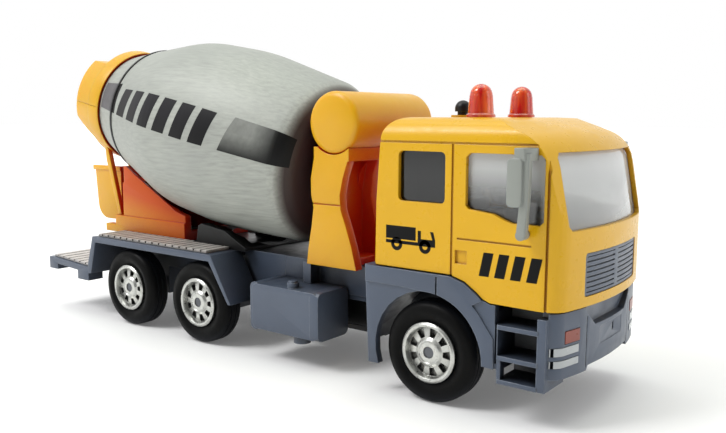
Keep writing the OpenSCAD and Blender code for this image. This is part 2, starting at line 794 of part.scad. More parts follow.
module side_tank_left() color(slate) {
    difference() {
        union() {
            side_slab(round_rect(side_x0 + 0.8, side_z0, side_x1, side_z1, 1.6, 3), side_y0 + 1, side_y1);
            // Rear end cap and front rim
            side_slab(round_rect(side_x0, side_z0 - 0.4, side_x0 + 3.2, side_z1 + 0.3, 1.4, 3),
                side_y0 + 1.6, side_y1 - 0.3);
            front_slab(round_rect(side_y0 + 1.2, side_z0 - 0.2, side_y1 + 0.25, side_z1 + 0.2, 1.6, 3),
                side_x1 - 2.4, side_x1 + 0.3);
            // Filler cap and drain boss
            translate([15.2, 20.2, side_z1 - 0.2]) cylinder(r = 1.5, h = 1.5, $fn = 32);
            translate([15.2, 20.2, side_z1 + 0.8]) cylinder(r = 1.1, h = 0.9, $fn = 32);
            translate([17.4, 19.4, side_z0 - 2]) cylinder(r = 2.1, h = 2.4, $fn = 32);
            // Straps to the rail
            box([6, rail_out + 0.46, side_z1 - 3], [9, side_y0 + 3, side_z1 - 1]);
            box([19, rail_out + 0.46, side_z1 - 3], [22, side_y0 + 3, side_z1 - 1]);
        }
        box([side_x0 + 4.6, side_y0, side_z0 + 1.4], [22.6, side_y1 - 1.4, side_z1 - 1.2]);
    }
}

module side_tank_right() color(slate) {
    mirror([0, 1, 0]) side_tank_left();
}

// ---- tower, tank, pedestal and hopper ----

tower_side = [[16, seat_z], [31.2, seat_z], [29.8, 30], [28.2, 34.5], [26.6, 38.5], [26.3, 42],
    [27.2, 46], [28.6, 50], [29, 53.2], [19.2, 53.2], [18.3, 50], [17.4, 45.5], [17.5, 41.5],
    [18.2, 38.6], [17.6, 34], [16.6, 29]];

tower_fin = [[22.2, seat_z], [29.4, seat_z], [28.6, 30], [26.4, 35.5], [25.2, 41], [25.8, 46],
    [27.4, 50.4], [22.2, 50.4]];

module drum_tower() color(yellow) {
    difference() {
        union() {
            both_sides() side_slab(tower_side, tower_hw - tower_t, tower_hw);
            // Web with a fin in front
            box([20.6, 2 - tower_hw, seat_z], [22.4, tower_hw - 2, 52.6]);
            side_slab(tower_fin, -2.2, 2.2);
            box([18.4, -tower_hw, 50], [29, tower_hw, 53.2]);
            box([17, 2 - tower_hw, seat_z], [28, tower_hw - 2, seat_z + 1.8]);
            // Bearing for the drum's spindle
            on_drum_axis() along_axis(77.6, 81.4, 4.2);
        }
        on_drum_axis() along_axis(60, spindle_s1 + 0.3, spindle_r + run);
        cross_bar(tank_x, tank_z, tank_r + gap, -20, 20);
        translate([21, 0, 20]) cylinder(r = 1.05, h = 9.4, $fn = 32);
        both_sides() box([16, tower_hw - 0.25, 39.4], [27.5, tower_hw + 1, 39.75]);
    }
}

module water_tank() color(yellow) {
    difference() {
        translate([tank_x, 0, tank_z]) rotate([90, 0, 0]) rotate_extrude()
            polygon([[0, -tank_hl - 0.5], [4, -tank_hl - 0.35], [tank_r - 0.9, -tank_hl],
                [tank_r, 0.8 - tank_hl], [tank_r, tank_hl - 0.8], [tank_r - 0.9, tank_hl],
                [4, tank_hl + 0.35], [0, tank_hl + 0.5]]);
        cross_bar(tank_x, tank_z, tank_r - 1.4, 1.4 - tank_hl, tank_hl - 1.4);
    }
}

pedestal_panel = [[-62, 27], [-33.8, 27], [-33.8, 31.8], [-38, 32.8], [-46, 37.2], [-56.8, 42.6],
    [-60.6, 45], [-62, 45]];

module rear_pedestal() color(yellow) {
    difference() {
        union() {
            both_sides() {
                side_slab(pedestal_panel, 10, 12);
                box([-66, 10, seat_z], [-33.6, 12.6, 29.8]);
                box([-71, 10, seat_z], [-62, 12.6, 26.8]);
            }
            box([-62.6, -12, seat_z], [-60.8, 12, 40]);
            box([-35.4, -12, seat_z], [-33.6, 12, 27.4]);
            box([-41, -12, seat_z], [-33.8, 12, seat_z + 1.6]);
            // Brackets for the chute's pin
            for (z = [29.6, 39]) {
                box([pivot_x, -2.4, z], [-61, 2.4, z + 1.8]);
                translate([pivot_x, 0, z]) cylinder(r = 2.4, h = 1.8, $fn = 48);
            }
        }
        translate([pivot_x, 0, 28]) cylinder(r = pivot_r + gap, h = 16, $fn = 32);
        translate([-38, 0, 20]) cylinder(r = 1.05, h = 10, $fn = 32);
        // Clearance under the drum
        drum_turned([[0, -2], [seam_r + 0.6, -2], [belly_r0 + 0.8, belly_s0],
            [drum_r + 0.8, belly_s1], [0, belly_s1]]);
    }
}

module chute_pin() color(steel) {
    translate([pivot_x, 0, 29]) cylinder(r = pivot_r, h = 12.4, $fn = 32);
    translate([pivot_x, 0, 40.8 + gap]) cylinder(r = 1.6, h = 0.8, $fn = 32);
}

chute_outline = concat(
    [[chute_x1, chute_z1], [chute_x0, chute_z1]],
    arc(chute_x0 + 6.2, chute_z0 + 5, 5, 186, 270, 6),
    arc(chute_x1 - 4.4, chute_z0 + 4.4, 4.4, 270, 360, 6));
chute_hollow = concat(
    [[chute_x1 - chute_t, chute_z1 + 1], [chute_x0 - 2, chute_z1 + 1], [chute_x0 - 2, chute_z0 + 8]],
    arc(chute_x0 + 6.2, chute_z0 + 5, 3.8, 186, 270, 6),
    arc(chute_x1 - 4.4, chute_z0 + 4.4, 3.2, 270, 360, 6));

module chute() color(yellow) {
    difference() {
        union() {
            side_slab(chute_outline, -chute_w / 2, chute_w / 2);
            // Knuckle on the pin
            translate([pivot_x, 0, 31.6]) cylinder(r = knuckle_r, h = 7.2, $fn = 48);
            box([chute_x1 - 0.4, -1.2, 31.6], [pivot_x, 1.2, 38.8]);
            // Rolled rim
            both_sides() box([chute_x0 - 0.4, chute_w / 2 - 0.6, chute_z1 - 1.4],
                [chute_x1 + 0.3, chute_w / 2 + 0.5, chute_z1]);
        }
        side_slab(chute_hollow, chute_t - chute_w / 2, chute_w / 2 - chute_t);
        translate([pivot_x, 0, 30]) cylinder(r = pivot_r + run, h = 12, $fn = 32);
    }
}

// Hopper body and rim before they are split at the drum's axis
module hopper_shell() {
    difference() {
        union() {
            intersection() {
                along_axis(collar_s0, collar_s1, collar_r);
                side_slab([[collar_s0, roof_flat], [collar_s1, roof_flat], [collar_s1, -15.6],
                    [collar_s0, -4.6]], -20, 20);
            }
            along_axis(ring_s0, collar_s1, collar_r + 0.1);
        }
        // Inside, with a bearing ring left around the drum's mouth
        intersection() {
            along_axis(collar_s0 + 1.4, ring_s0 + 0.8, collar_r - 1.2);
            side_slab([[collar_s0 + 1.4, roof_flat - 1.4], [-7, roof_flat - 1.4], [-7, -17.5],
                [collar_s0 + 1.4, -4.1]], -20, 20);
        }
        rotate([0, 90, 0]) translate([0, 0, ring_s0 + 0.2]) cylinder(r = journal_r + run, h = 5);
        rotate([0, 90, 0]) translate([0, 0, lip_s - 0.3]) cylinder(r = lip_r + 0.7, h = 10);
        // Outlet over the chute
        side_slab([[-22, -4.6], [-17, 1], [-13.6, -5], [-13.6, -17]], -5, 5);
    }
}

module hopper_hood() color(yellow) {
    on_drum_axis() intersection() {
        hopper_shell();
        box([-30, -30, gap / 2], [0, 30, 30]);
    }
}

module hopper_cradle() color(yellow) {
    on_drum_axis() intersection() {
        hopper_shell();
        box([-30, -30, -30], [0, 30, -gap / 2]);
    }
    // Struts down to the pedestal
    both_sides() {
        side_slab([[-71.9, 51.8], [-70.2, 50.1], [-64.6, 29.86], [-66, 29.86], [-71.2, 46.5]], 10.1, 11.5);
    }
}

// ---- drum ----

module drum_barrel() color([0.75, 0.76, 0.74]) {
    drum_turned([
        [seam_r, gap], [belly_r0, belly_s0], [drum_r, belly_s1], [shoulder_r, shoulder_s],
        [20.4, 68.8], [17.4, 71], [13.4, 71.9], [9, nose_s], [4.2, nose_s], [4.2, nose_s + 3.2],
        [spindle_r + gap / 2, nose_s + 3.2], [spindle_r + gap / 2, spindle_s0], [12.6, spindle_s0 - 0.4],
        [16.4, spindle_s0 - 1.2], [19.3, 67.9],
        [shoulder_r - drum_wall, shoulder_s - 0.6], [drum_r - drum_wall, belly_s1],
        [belly_r0 - drum_wall, belly_s0], [seam_r - drum_wall, gap]]);
}

module drum_mouth() color([0.75, 0.76, 0.74]) {
    drum_turned([
        [seam_r, -gap], [lip_r, lip_s], [journal_r, lip_s - 0.2], [journal_r, mouth_s],
        [journal_r - drum_wall, mouth_s], [journal_r - drum_wall, lip_s - 0.2],
        [lip_r - drum_wall, lip_s + 0.4], [seam_r - drum_wall - 0.2, -gap - 0.4],
        [seam_r - drum_wall - 0.2, 3], [seam_r - drum_wall + 0.3, 3],
        [seam_r - drum_wall - gap, -gap]]);
}

module drum_seam() color(dark) {
    drum_turned([[seam_r + gap, -0.35], [seam_r + 0.25, -0.35],
        [seam_r + 0.35, 0.35], [seam_r + 0.16, 0.35]]);
}

module drum_spindle() color(steel) {
    on_drum_axis() {
        along_axis(spindle_s0 - 1.6 - gap, spindle_s0 - gap, 2.6, $fn = 48);
        along_axis(spindle_s0 - 1, spindle_s1, spindle_r, $fn = 48);
    }
}

// ---- wheels ----

module axle(x) {
    cross_bar(x, tyre_r, axle_r, 0.5 - wheel_face, wheel_face - 0.5);
}

// Hub drawn about the Y axis with its outer face at the wheel's face
module hub() {
    difference() {
        rotate([-90, 0, 0]) rotate_extrude() polygon([
            [axle_r + 0.02, tyre_in + 0.6], [2.6, tyre_in + 0.6], [2.6, 20.4], [4.6, 20],
            [5, tyre_in + 0.4],
            [hub_r, tyre_in + 0.4], [hub_r, wheel_face - 0.5], [hub_r + 0.05, wheel_face - 0.1],
            [hub_r - 0.4, wheel_face + hub_out], [hub_r - 0.9, wheel_face + 0.1], [hub_r - 1.2, 21.4],
            [3.2, 21.8], [2.7, 22.3], [2.4, 22.4], [2.2, 22.2], [axle_r + 0.02, 22.2]]);
        for (k = [0:hub_slots - 1]) rotate([0, k * 360 / hub_slots, 0]) translate([0, 24, 0])
            rotate([90, 0, 0]) linear_extrude(height = 3.4)
                polygon([[3.3, -0.55], [5, -0.95], [5.2, -0.6], [5.2, 0.6], [5, 0.95], [3.3, 0.55]]);
    }
}

// Tyre drawn about the Y axis
module tyre() {
    rotate([-90, 0, 0]) difference() {
        rotate_extrude($fn = 96) polygon(concat(
            [[hub_r + gap, tyre_in + 0.5], [hub_r + 1, tyre_in]],
            arc(tyre_r - 1.4, tyre_in + 1.4, 1.4, -70, 0, 4),
            arc(tyre_r - 1.9, wheel_face - 1.9, 1.9, 0, 62, 6),
            arc(tyre_r - 2.3, wheel_face - 1.9, 2, 78, 125, 5),
            [[hub_r + 0.5, wheel_face - 0.45], [hub_r + gap + 0.06, wheel_face - 0.7]]));
        // Two grooves round the tread
        for (y = [tyre_in + 2.1, tyre_in + 3.7]) translate([0, 0, y]) difference() {
            cylinder(r = tyre_r + 1, h = 0.4, $fn = 96);
            translate([0, 0, -1]) cylinder(r = tyre_r - 0.35, h = 3, $fn = 96);
        }
    }
}

module wheel_part(x, side) {
    translate([x, 0, tyre_r]) mirror([0, side == "right" ? 1 : 0, 0]) children();
}

module front_axle() color(steel) {
    axle(front_axle_x);
}

module middle_axle() color(steel) {
    axle(mid_axle_x);
}

module rear_axle() color(steel) {
    axle(rear_axle_x);
}

module front_hub_right() color(steel) {
    wheel_part(front_axle_x, "right") hub();
}

module front_hub_left() color(steel) {
    wheel_part(front_axle_x, "left") hub();
}

module middle_hub_right() color(steel) {
    wheel_part(mid_axle_x, "right") hub();
}

module middle_hub_left() color(steel) {
    wheel_part(mid_axle_x, "left") hub();
}

module rear_hub_right() color(steel) {
    wheel_part(rear_axle_x, "right") hub();
}

module rear_hub_left() color(steel) {
    wheel_part(rear_axle_x, "left") hub();
}

module front_tyre_right() color(dark) {
    wheel_part(front_axle_x, "right") tyre();
}

module front_tyre_left() color(dark) {
    wheel_part(front_axle_x, "left") tyre();
}

module middle_tyre_right() color(dark) {
    wheel_part(mid_axle_x, "right") tyre();
}

module middle_tyre_left() color(dark) {
    wheel_part(mid_axle_x, "left") tyre();
}

module rear_tyre_right() color(dark) {
    wheel_part(rear_axle_x, "right") tyre();
}

module rear_tyre_left() color(dark) {
    wheel_part(rear_axle_x, "left") tyre();
}

chassis_frame();
rear_deck();
cab_base();
side_tank_right();
side_tank_left();
drum_saddle();
deck_tread_right();
deck_tread_left();
platform_tread();
battery_box();
button_cells();
battery_cover();
cover_screw();
speaker();
chassis_screws();
cab_shell();
cab_glazing();
cab_interior();
steering_wheel();
grille();
headlamp_right();
headlamp_left();
indicator_right();
indicator_left();
mirror_right();
mirror_left();
beacon_right();
beacon_left();
beacon_leds();
circuit_board();
roof_button();
button_spring();
drum_tower();
water_tank();
rear_pedestal();
hopper_hood();
hopper_cradle();
chute();
chute_pin();
drum_barrel();
drum_mouth();
drum_seam();
drum_spindle();
front_axle();
front_hub_right();
front_hub_left();
front_tyre_right();
front_tyre_left();
middle_axle();
middle_hub_right();
middle_hub_left();
middle_tyre_right();
middle_tyre_left();
rear_axle();
rear_hub_right();
rear_hub_left();
rear_tyre_right();
rear_tyre_left();
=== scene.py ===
"""Looks of the toy cement mixer: materials, printed marks, a smooth drum, floor, light and camera.

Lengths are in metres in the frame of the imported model: +X forward, +Y the truck's left, +Z up.
"""

import json
import math

import bmesh
import bpy
from mathutils import Matrix, Vector


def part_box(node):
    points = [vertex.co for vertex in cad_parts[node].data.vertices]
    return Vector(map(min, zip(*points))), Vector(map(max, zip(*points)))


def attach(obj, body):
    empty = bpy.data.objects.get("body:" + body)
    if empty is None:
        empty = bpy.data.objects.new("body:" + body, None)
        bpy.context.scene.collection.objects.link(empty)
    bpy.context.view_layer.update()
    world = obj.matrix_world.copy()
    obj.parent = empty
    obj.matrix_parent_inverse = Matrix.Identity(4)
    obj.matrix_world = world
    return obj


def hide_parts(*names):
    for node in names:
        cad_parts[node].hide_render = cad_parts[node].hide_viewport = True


MM = 0.001

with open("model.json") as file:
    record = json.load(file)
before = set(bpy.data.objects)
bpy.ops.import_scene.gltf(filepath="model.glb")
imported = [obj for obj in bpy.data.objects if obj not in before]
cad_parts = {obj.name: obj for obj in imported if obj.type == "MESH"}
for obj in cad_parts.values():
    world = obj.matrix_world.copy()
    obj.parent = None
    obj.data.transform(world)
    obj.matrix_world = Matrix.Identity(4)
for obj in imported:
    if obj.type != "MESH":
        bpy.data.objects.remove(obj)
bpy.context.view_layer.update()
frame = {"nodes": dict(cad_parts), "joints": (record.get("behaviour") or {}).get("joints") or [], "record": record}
nodes = frame["nodes"]
joint = {j["name"]: j for j in frame["joints"]}


# ---- shader helpers ----

# How the studio light turns a base colour into what is seen: factor, white added, darkest base
LIT, SHEEN, DARKEST = 0.84, 0.028, 0.003


def srgb(r, g, b):
    """Linear base colour of a surface that should look like these 8 bit values, less its white sheen."""
    out = []
    for v in (r, g, b):
        v = v / 255
        v = v / 12.92 if v <= 0.04045 else ((v + 0.055) / 1.055) ** 2.4
        out.append(max(v * LIT - SHEEN, DARKEST))
    return (*out, 1.0)


def scaled(c, k):
    return (min(c[0] * k, 1), min(c[1] * k, 1), min(c[2] * k, 1), 1.0)


class Graph:
    """A material's node tree with short calls for the nodes used here."""

    def __init__(self, name):
        self.mat = bpy.data.materials.new(name)
        self.mat.use_nodes = True
        self.tree = self.mat.node_tree
        self.tree.nodes.clear()
        self.out = self.add("ShaderNodeOutputMaterial")
        self.bsdf = self.add("ShaderNodeBsdfPrincipled")
        self.link(self.bsdf.outputs[0], self.out.inputs["Surface"])
        self.coord = self.add("ShaderNodeTexCoord").outputs["Object"]

    def add(self, kind, **props):
        n = self.tree.nodes.new(kind)
        for k, v in props.items():
            setattr(n, k, v)
        return n

    def link(self, a, b):
        self.tree.links.new(a, b)

    def put(self, socket, value):
        if hasattr(value, "is_output"):
            self.link(value, socket)
        else:
            socket.default_value = value

    def noise(self, scale, detail=3.0, rough=0.55, vector=None):
        n = self.add("ShaderNodeTexNoise")
        self.link(vector or self.coord, n.inputs["Vector"])
        n.inputs["Scale"].default_value = scale
        n.inputs["Detail"].default_value = detail
        n.inputs["Roughness"].default_value = rough
        return n.outputs[0]

    def stretched(self, scale, turn=0.0):
        """Object coordinates turned about Y and stretched."""
        n = self.add("ShaderNodeMapping", vector_type="POINT")
        self.link(self.coord, n.inputs["Vector"])
        n.inputs["Rotation"].default_value = (0, turn, 0)
        n.inputs["Scale"].default_value = scale
        return n.outputs[0]

    def remap(self, value, lo, hi, to_lo, to_hi):
        n = self.add("ShaderNodeMapRange")
        self.link(value, n.inputs[0])
        for i, v in enumerate((lo, hi, to_lo, to_hi)):
            n.inputs[i + 1].default_value = v
        return n.outputs[0]

    def math(self, op, a, b=0.0):
        n = self.add("ShaderNodeMath", operation=op)
        self.put(n.inputs[0], a)
        self.put(n.inputs[1], b)
        return n.outputs[0]

    def mix(self, fac, a, b):
        n = self.add("ShaderNodeMix", data_type="RGBA")
        self.put(n.inputs[0], fac)
        self.put(n.inputs[6], a)
        self.put(n.inputs[7], b)
        return n.outputs[2]

    def rounded(self, radius):
        """Normal with softened edges."""
        n = self.add("ShaderNodeBevel", samples=6)
        n.inputs["Radius"].default_value = radius
        return n.outputs[0]

    def edges(self, radius, lo=0.02, hi=0.25):
        """Mask that is 1 along edges and 0 on flat areas."""
        n = self.add("ShaderNodeVectorMath", operation="DOT_PRODUCT")
        self.link(self.rounded(radius), n.inputs[0])
        self.link(self.add("ShaderNodeNewGeometry").outputs["Normal"], n.inputs[1])
        return self.remap(self.math("SUBTRACT", 1.0, n.outputs["Value"]), lo, hi, 0, 1)

    def painted_corner_shade(self, colour, deep, reach, lo, hi):
        """Painted shade: colour that turns into another one in deep corners and close to other surfaces, reach mm
        across.
        """
        n = self.add("ShaderNodeAmbientOcclusion", samples=6)
        n.inputs["Distance"].default_value = reach * MM
        return self.mix(self.remap(n.outputs["AO"], lo, hi, 0, 1), deep, colour)

    def along(self, axis, origin):
        """Distance of a point from an origin along an axis."""
        move = self.add("ShaderNodeVectorMath", operation="SUBTRACT")
        self.link(self.coord, move.inputs[0])
        move.inputs[1].default_value = origin
        n = self.add("ShaderNodeVectorMath", operation="DOT_PRODUCT")
        self.link(move.outputs[0], n.inputs[0])
        n.inputs[1].default_value = axis
        return n.outputs["Value"]

    def bump(self, height, distance, strength=1.0, radius=None):
        n = self.add("ShaderNodeBump")
        n.inputs["Strength"].default_value = strength
        n.inputs["Distance"].default_value = distance
        self.link(height, n.inputs["Height"])
        if radius:
            self.link(self.rounded(radius), n.inputs["Normal"])
        self.link(n.outputs[0], self.bsdf.inputs["Normal"])

    def set(self, **values):
        for k, v in values.items():
            self.put(self.bsdf.inputs[k.replace("_", " ")], v)


INK_BLACK = srgb(14, 13, 15)
SHADOW = (0.009, 0.010, 0.013, 1)
# Pale edge colour, partly wear and partly painted highlight
WEAR_AND_EDGE_HIGHLIGHT = (0.5, 0.55, 0.62, 1)


def moulded(
    name, colour, rough=0.4, grain=0.006, grain_scale=2600, blotch=0.05, worn=0.0, soft=0.16, deep=None
):
    """Painted or moulded surface: blotchy tone, fine grain, soft edges, painted shade in deep corners, pale edges
    that are partly wear and partly painted highlight.

    grain and soft are in mm. deep holds the colour of the painted shade in corners, its reach in mm and the range
    of openness.
    """
    g = Graph(name)
    tone = g.remap(g.noise(90, 4), 0.3, 0.7, 0, 1)
    colour_out = g.mix(tone, scaled(colour, 1 - blotch), scaled(colour, 1 + blotch))
    # Pale edges: partly wear, partly a painted highlight along the rounded edges
    if worn:
        mask = g.math("MULTIPLY", g.edges(0.35 * MM), g.remap(g.noise(700, 3), 0.35, 0.6, 0.25, 1))
        mask = g.math("MULTIPLY", mask, worn)
        colour_out = g.mix(mask, colour_out, WEAR_AND_EDGE_HIGHLIGHT)
    # Painted shade: the colour turns to the deep colour in corners and close to other surfaces
    if deep:
        shade, reach, lo, hi = deep
        colour_out = g.painted_corner_shade(colour_out, shade, reach, lo, hi)
    g.set(Base_Color=colour_out)
    g.set(Roughness=g.remap(g.noise(420, 3), 0.3, 0.7, rough - 0.05, rough + 0.06))
    g.bump(g.noise(grain_scale, 2), grain * MM, 0.6, soft * MM)
    return g


paint = moulded(
    "cab_paint",
    srgb(236, 184, 28),
    rough=0.3,
    grain=0.002,
    grain_scale=700,
    blotch=0.02,
    soft=0.3,
    # Painted shade in the cab's corners and seams, 2.5 mm across
    deep=(srgb(176, 108, 20), 2.5, 0.2, 0.7),
)
paint.set(Specular_IOR_Level=0.35)

def translucent(name, shade, reach, lo, hi):
    """Yellow plastic with a little subsurface light and painted deep orange shade in corners and close to other
    surfaces.
    """
    deep = (shade, reach, lo, hi)
    g = moulded(name, srgb(238, 182, 30), rough=0.34, grain=0.003, blotch=0.03, soft=0.4, deep=deep)
    g.set(Subsurface_Weight=0.25, Subsurface_Scale=0.003, Specular_IOR_Level=0.4)
    g.bsdf.inputs["Subsurface Radius"].default_value = (1.0, 0.35, 0.08)
    return g


# Painted shade: each copy turns orange near other surfaces; the tower's copy is more shaded and reaches further
yellow = translucent("yellow_plastic", srgb(200, 66, 22), 22, 0.3, 0.72)
tower_yellow = translucent("tower_yellow", srgb(204, 62, 26), 26, 0.35, 0.8)

# Slate plastic with painted shade in deep corners, 24 mm across
slate = moulded(
    "slate_plastic",
    srgb(92, 101, 117),
    rough=0.36,
    grain=0.008,
    blotch=0.06,
    worn=0.45,
    soft=0.3,
    deep=(SHADOW, 24, 0.22, 0.62),
)
black = moulded("black_plastic", srgb(30, 30, 33), rough=0.38, blotch=0.08, worn=0.12, soft=0.2)
black.set(Specular_IOR_Level=0.3)
mirror = moulded("mirror_grey", srgb(156, 160, 154), worn=0.2, soft=0.4)
lamp = moulded("lamp_white", srgb(196, 200, 202), rough=0.22, grain=0.004, blotch=0.06, soft=0.15)
orange = moulded("lamp_orange", srgb(158, 82, 68), rough=0.3, grain=0.004, blotch=0.25, soft=0.15)
circuit = moulded("circuit_green", srgb(28, 96, 52), rough=0.3, grain=0.01, blotch=0.1, soft=0.1)
led = moulded("led_clear", srgb(236, 226, 206), rough=0.15, grain=0.002, blotch=0.04, soft=0.1)


def metal(name, colour, rough, streak, radius=0.15, dark=0.0, metallic=0.9):
    """Metal with fine streaks, dark pits and painted shade in corners. radius is the edge softening in mm."""
    g = Graph(name)
    lines = g.noise(1.0, 3, 0.6, g.stretched(streak))
    base = g.mix(g.remap(lines, 0.3, 0.7, 0, 1), scaled(colour, 0.86), scaled(colour, 1.08))
    if dark:
        pits = g.remap(g.noise(500, 3), 0.45, 0.7, 0, dark)
        base = g.mix(pits, base, scaled(colour, 0.35))
    # Painted shade in corners, 3 mm across
    base = g.painted_corner_shade(base, scaled(colour, 0.1), 3, 0.3, 0.75)
    g.set(Base_Color=base, Metallic=metallic)
    g.set(Roughness=g.remap(lines, 0.3, 0.7, rough - 0.06, rough + 0.08))
    g.bump(lines, 0.004 * MM, 0.5, radius * MM)
    return g


chrome = metal(
    "hub_chrome", srgb(226, 227, 222), 0.3, (900, 900, 900), radius=0.2, dark=0.3, metallic=0.75
)
steel = metal("steel", srgb(120, 122, 126), 0.35, (300, 2500, 300), dark=0.3)
cell = metal("cell_steel", srgb(190, 192, 196), 0.3, (1500, 1500, 200))


def rubber():
    """Dull black with a little dust, and painted shade in deep corners."""
    g = Graph("tyre_rubber")
    dust = g.remap(g.noise(160, 5, 0.65), 0.4, 0.75, 0, 0.5)
    base = g.mix(dust, srgb(12, 12, 13), srgb(24, 24, 27))
    # Painted shade in deep corners, 14 mm across
    base = g.painted_corner_shade(base, SHADOW, 14, 0.25, 0.6)
    g.set(Base_Color=base, Specular_IOR_Level=0.09)
    g.set(Roughness=g.remap(g.noise(600, 3), 0.3, 0.7, 0.38, 0.54))
    g.bump(g.noise(1800, 4), 0.015 * MM, 0.4, 0.3 * MM)
    return g


def tread_plate(name, low, high):
    """Grey plate between two tones, with fine ridges across the truck and painted shade in its grooves."""
    g = Graph(name)
    base = g.mix(g.remap(g.noise(220, 4), 0.3, 0.7, 0, 1), low, high)
    # Painted shade in the grooves, 1.2 mm across
    base = g.painted_corner_shade(base, srgb(40, 38, 40), 1.2, 0.3, 0.8)
    g.set(Base_Color=base, Roughness=0.55)
    wave = g.add("ShaderNodeTexWave", wave_type="BANDS", bands_direction="Y")
    g.link(g.coord, wave.inputs["Vector"])
    wave.inputs["Scale"].default_value = 200
    g.bump(wave.outputs["Fac"], 0.05 * MM, 0.3, 0.12 * MM)
    return g


def glazing():
    """Clear moulding: rear windows given a dark tint as painted shade of the cab's inside, doors and windscreen
    turned pale with painted light, palest at the top.
    """
    g = Graph("clear_glazing")
    low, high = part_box("cab_glazing")
    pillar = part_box("front_axle")[1][0] + 3 * MM
    height = g.along((0, 0, 1), (0, 0, low[2]))
    doors = g.remap(g.along((1, 0, 0), (pillar, 0, 0)), 0, 1.5 * MM, 0, 1)
    screen = g.remap(g.along((1, 0, 0), (high[0] - 6.5 * MM, 0, 0)), 0, 1.5 * MM, 0, 1)
    # Painted light: doors and windscreen turn pale and less clear, more so towards the top, for reflection and
    # what shows through
    door_painted_light = g.remap(height, 5 * MM, 12 * MM, 0.02, 0.62)
    screen_painted_light = g.remap(height, 2 * MM, 12 * MM, 0.36, 0.8)
    painted_light = g.math("MULTIPLY", doors, g.mix(screen, door_painted_light, screen_painted_light))
    smear = g.remap(g.noise(140, 3), 0.35, 0.7, 0.05, 0.12)
    tint = g.mix(g.noise(60, 2), srgb(228, 230, 229), srgb(242, 243, 243))
    # Painted shade: the rear windows take a dark tint for the shaded inside of the cab
    tint = g.mix(doors, srgb(64, 66, 66), tint)
    g.set(Base_Color=tint, Roughness=smear, IOR=1.5, Specular_IOR_Level=0.3)
    g.set(Transmission_Weight=g.math("SUBTRACT", 1.0, painted_light))
    g.bump(g.noise(260, 2), 0.01 * MM, 0.3)
    return g


def beacon_red():
    """Clear orange-red lens with upright ribs and a slight painted glow that stands in for light passing through
    it.
    """
    g = Graph("beacon_red")
    ribs = g.noise(1.0, 2, 0.5, g.stretched((700, 700, 60)))
    base = g.mix(g.remap(ribs, 0.35, 0.65, 0, 1), srgb(206, 44, 18), srgb(252, 136, 74))
    g.set(Base_Color=base, Roughness=0.1, Transmission_Weight=0.5, IOR=1.46)
    g.set(Coat_Weight=0.6, Coat_Roughness=0.04)
    # Painted glow: the lens gives off a little light in its own colour
    g.set(Subsurface_Weight=0.4, Subsurface_Scale=0.002, Emission_Color=base, Emission_Strength=0.14)
    g.bsdf.inputs["Subsurface Radius"].default_value = (1.0, 0.2, 0.1)
    g.bump(ribs, 0.03 * MM, 0.4, 0.15 * MM)
    return g


# ---- drum frame ----

SPIN = Vector(joint["drum_spin"]["axis"]).normalized()
TILT = math.atan2(-SPIN.z, SPIN.x)
SEAM = Vector(joint["drum_spin"]["pos_m"])
OUT = Vector((math.sin(TILT), 0, math.cos(TILT)))


def pedestal_plastic():
    """Yellow plastic with painted deep orange shade close under the drum, where the drum's shadow falls."""
    g = translucent("shaded_yellow", srgb(176, 56, 20), 34, 0.35, 0.8)
    base = g.bsdf.inputs["Base Color"].links[0].from_socket
    # Painted shadow of the drum: the colour turns deep orange higher up, towards the drum's underside
    near = g.remap(g.along(OUT, SEAM), -37 * MM, -24 * MM, 0, 0.85)
    g.set(Base_Color=g.mix(near, base, srgb(206, 72, 20)), Specular_IOR_Level=0.25)
    return g


def drum_paint():
    """Satin grey with streaks along the drum and faint bands round it, the front end painted dark brown as shade
    and reflection of the tower, and painted shade in corners.
    """
    g = Graph("drum_grey")
    fine = g.noise(1.0, 4, 0.6, g.stretched((120, 1500, 1500), -TILT))
    cloud = g.noise(38, 3, 0.5)
    base = g.mix(g.remap(fine, 0.3, 0.7, 0, 1), srgb(166, 169, 162), srgb(195, 198, 190))
    base = g.mix(g.remap(cloud, 0.35, 0.7, 0, 0.45), base, srgb(164, 167, 163))
    # Painted shade and reflection: the drum's front end turns dark brown
    painted_front_shade = g.remap(g.along(SPIN, SEAM), 67.6 * MM, 69.8 * MM, 0, 0.94)
    base = g.mix(painted_front_shade, base, srgb(66, 42, 32))
    # Painted shade in corners, 12 mm across
    base = g.painted_corner_shade(base, srgb(40, 26, 20), 12, 0.1, 0.5)
    g.set(Base_Color=base, Metallic=0.15, Roughness=g.remap(fine, 0.3, 0.7, 0.46, 0.62))
    g.bump(fine, 0.012 * MM, 0.5)
    return g


def ink():
    """Flat black print, slightly worn."""
    g = Graph("print_black")
    worn = g.remap(g.noise(1500, 3), 0.6, 0.75, 0, 0.35)
    g.set(Base_Color=g.mix(worn, INK_BLACK, srgb(44, 40, 40)), Roughness=0.5, Specular_IOR_Level=0.15)
    g.bump(g.noise(3000, 2), 0.004 * MM, 0.4)
    return g


def painted_sheen_print(name, pale, s_fade, h_fade):
    """Black print with a painted grey sheen, a painted highlight that fades out towards one end and the lower
    edge.

    s_fade holds the stations in mm where the sheen starts to fade and is gone, h_fade the heights.
    """
    g = Graph(name)
    station = g.along(SPIN, SEAM)
    height = g.along(OUT, SEAM)
    ends = g.remap(station, s_fade[0] * MM, s_fade[1] * MM, 1, 0)
    lower = g.remap(height, h_fade[1] * MM, h_fade[0] * MM, 0, 1)
    grit = g.remap(g.noise(700, 4), 0.3, 0.7, 0.8, 1.0)
    # Painted highlight: the sheen, strongest towards the upper side at rest
    sheen = g.math("MULTIPLY", g.math("MULTIPLY", ends, lower), grit)
    g.set(Base_Color=g.mix(sheen, INK_BLACK, pale), Roughness=0.45, Specular_IOR_Level=0.2)
    g.bump(g.noise(2500, 2), 0.005 * MM, 0.4)
    return g


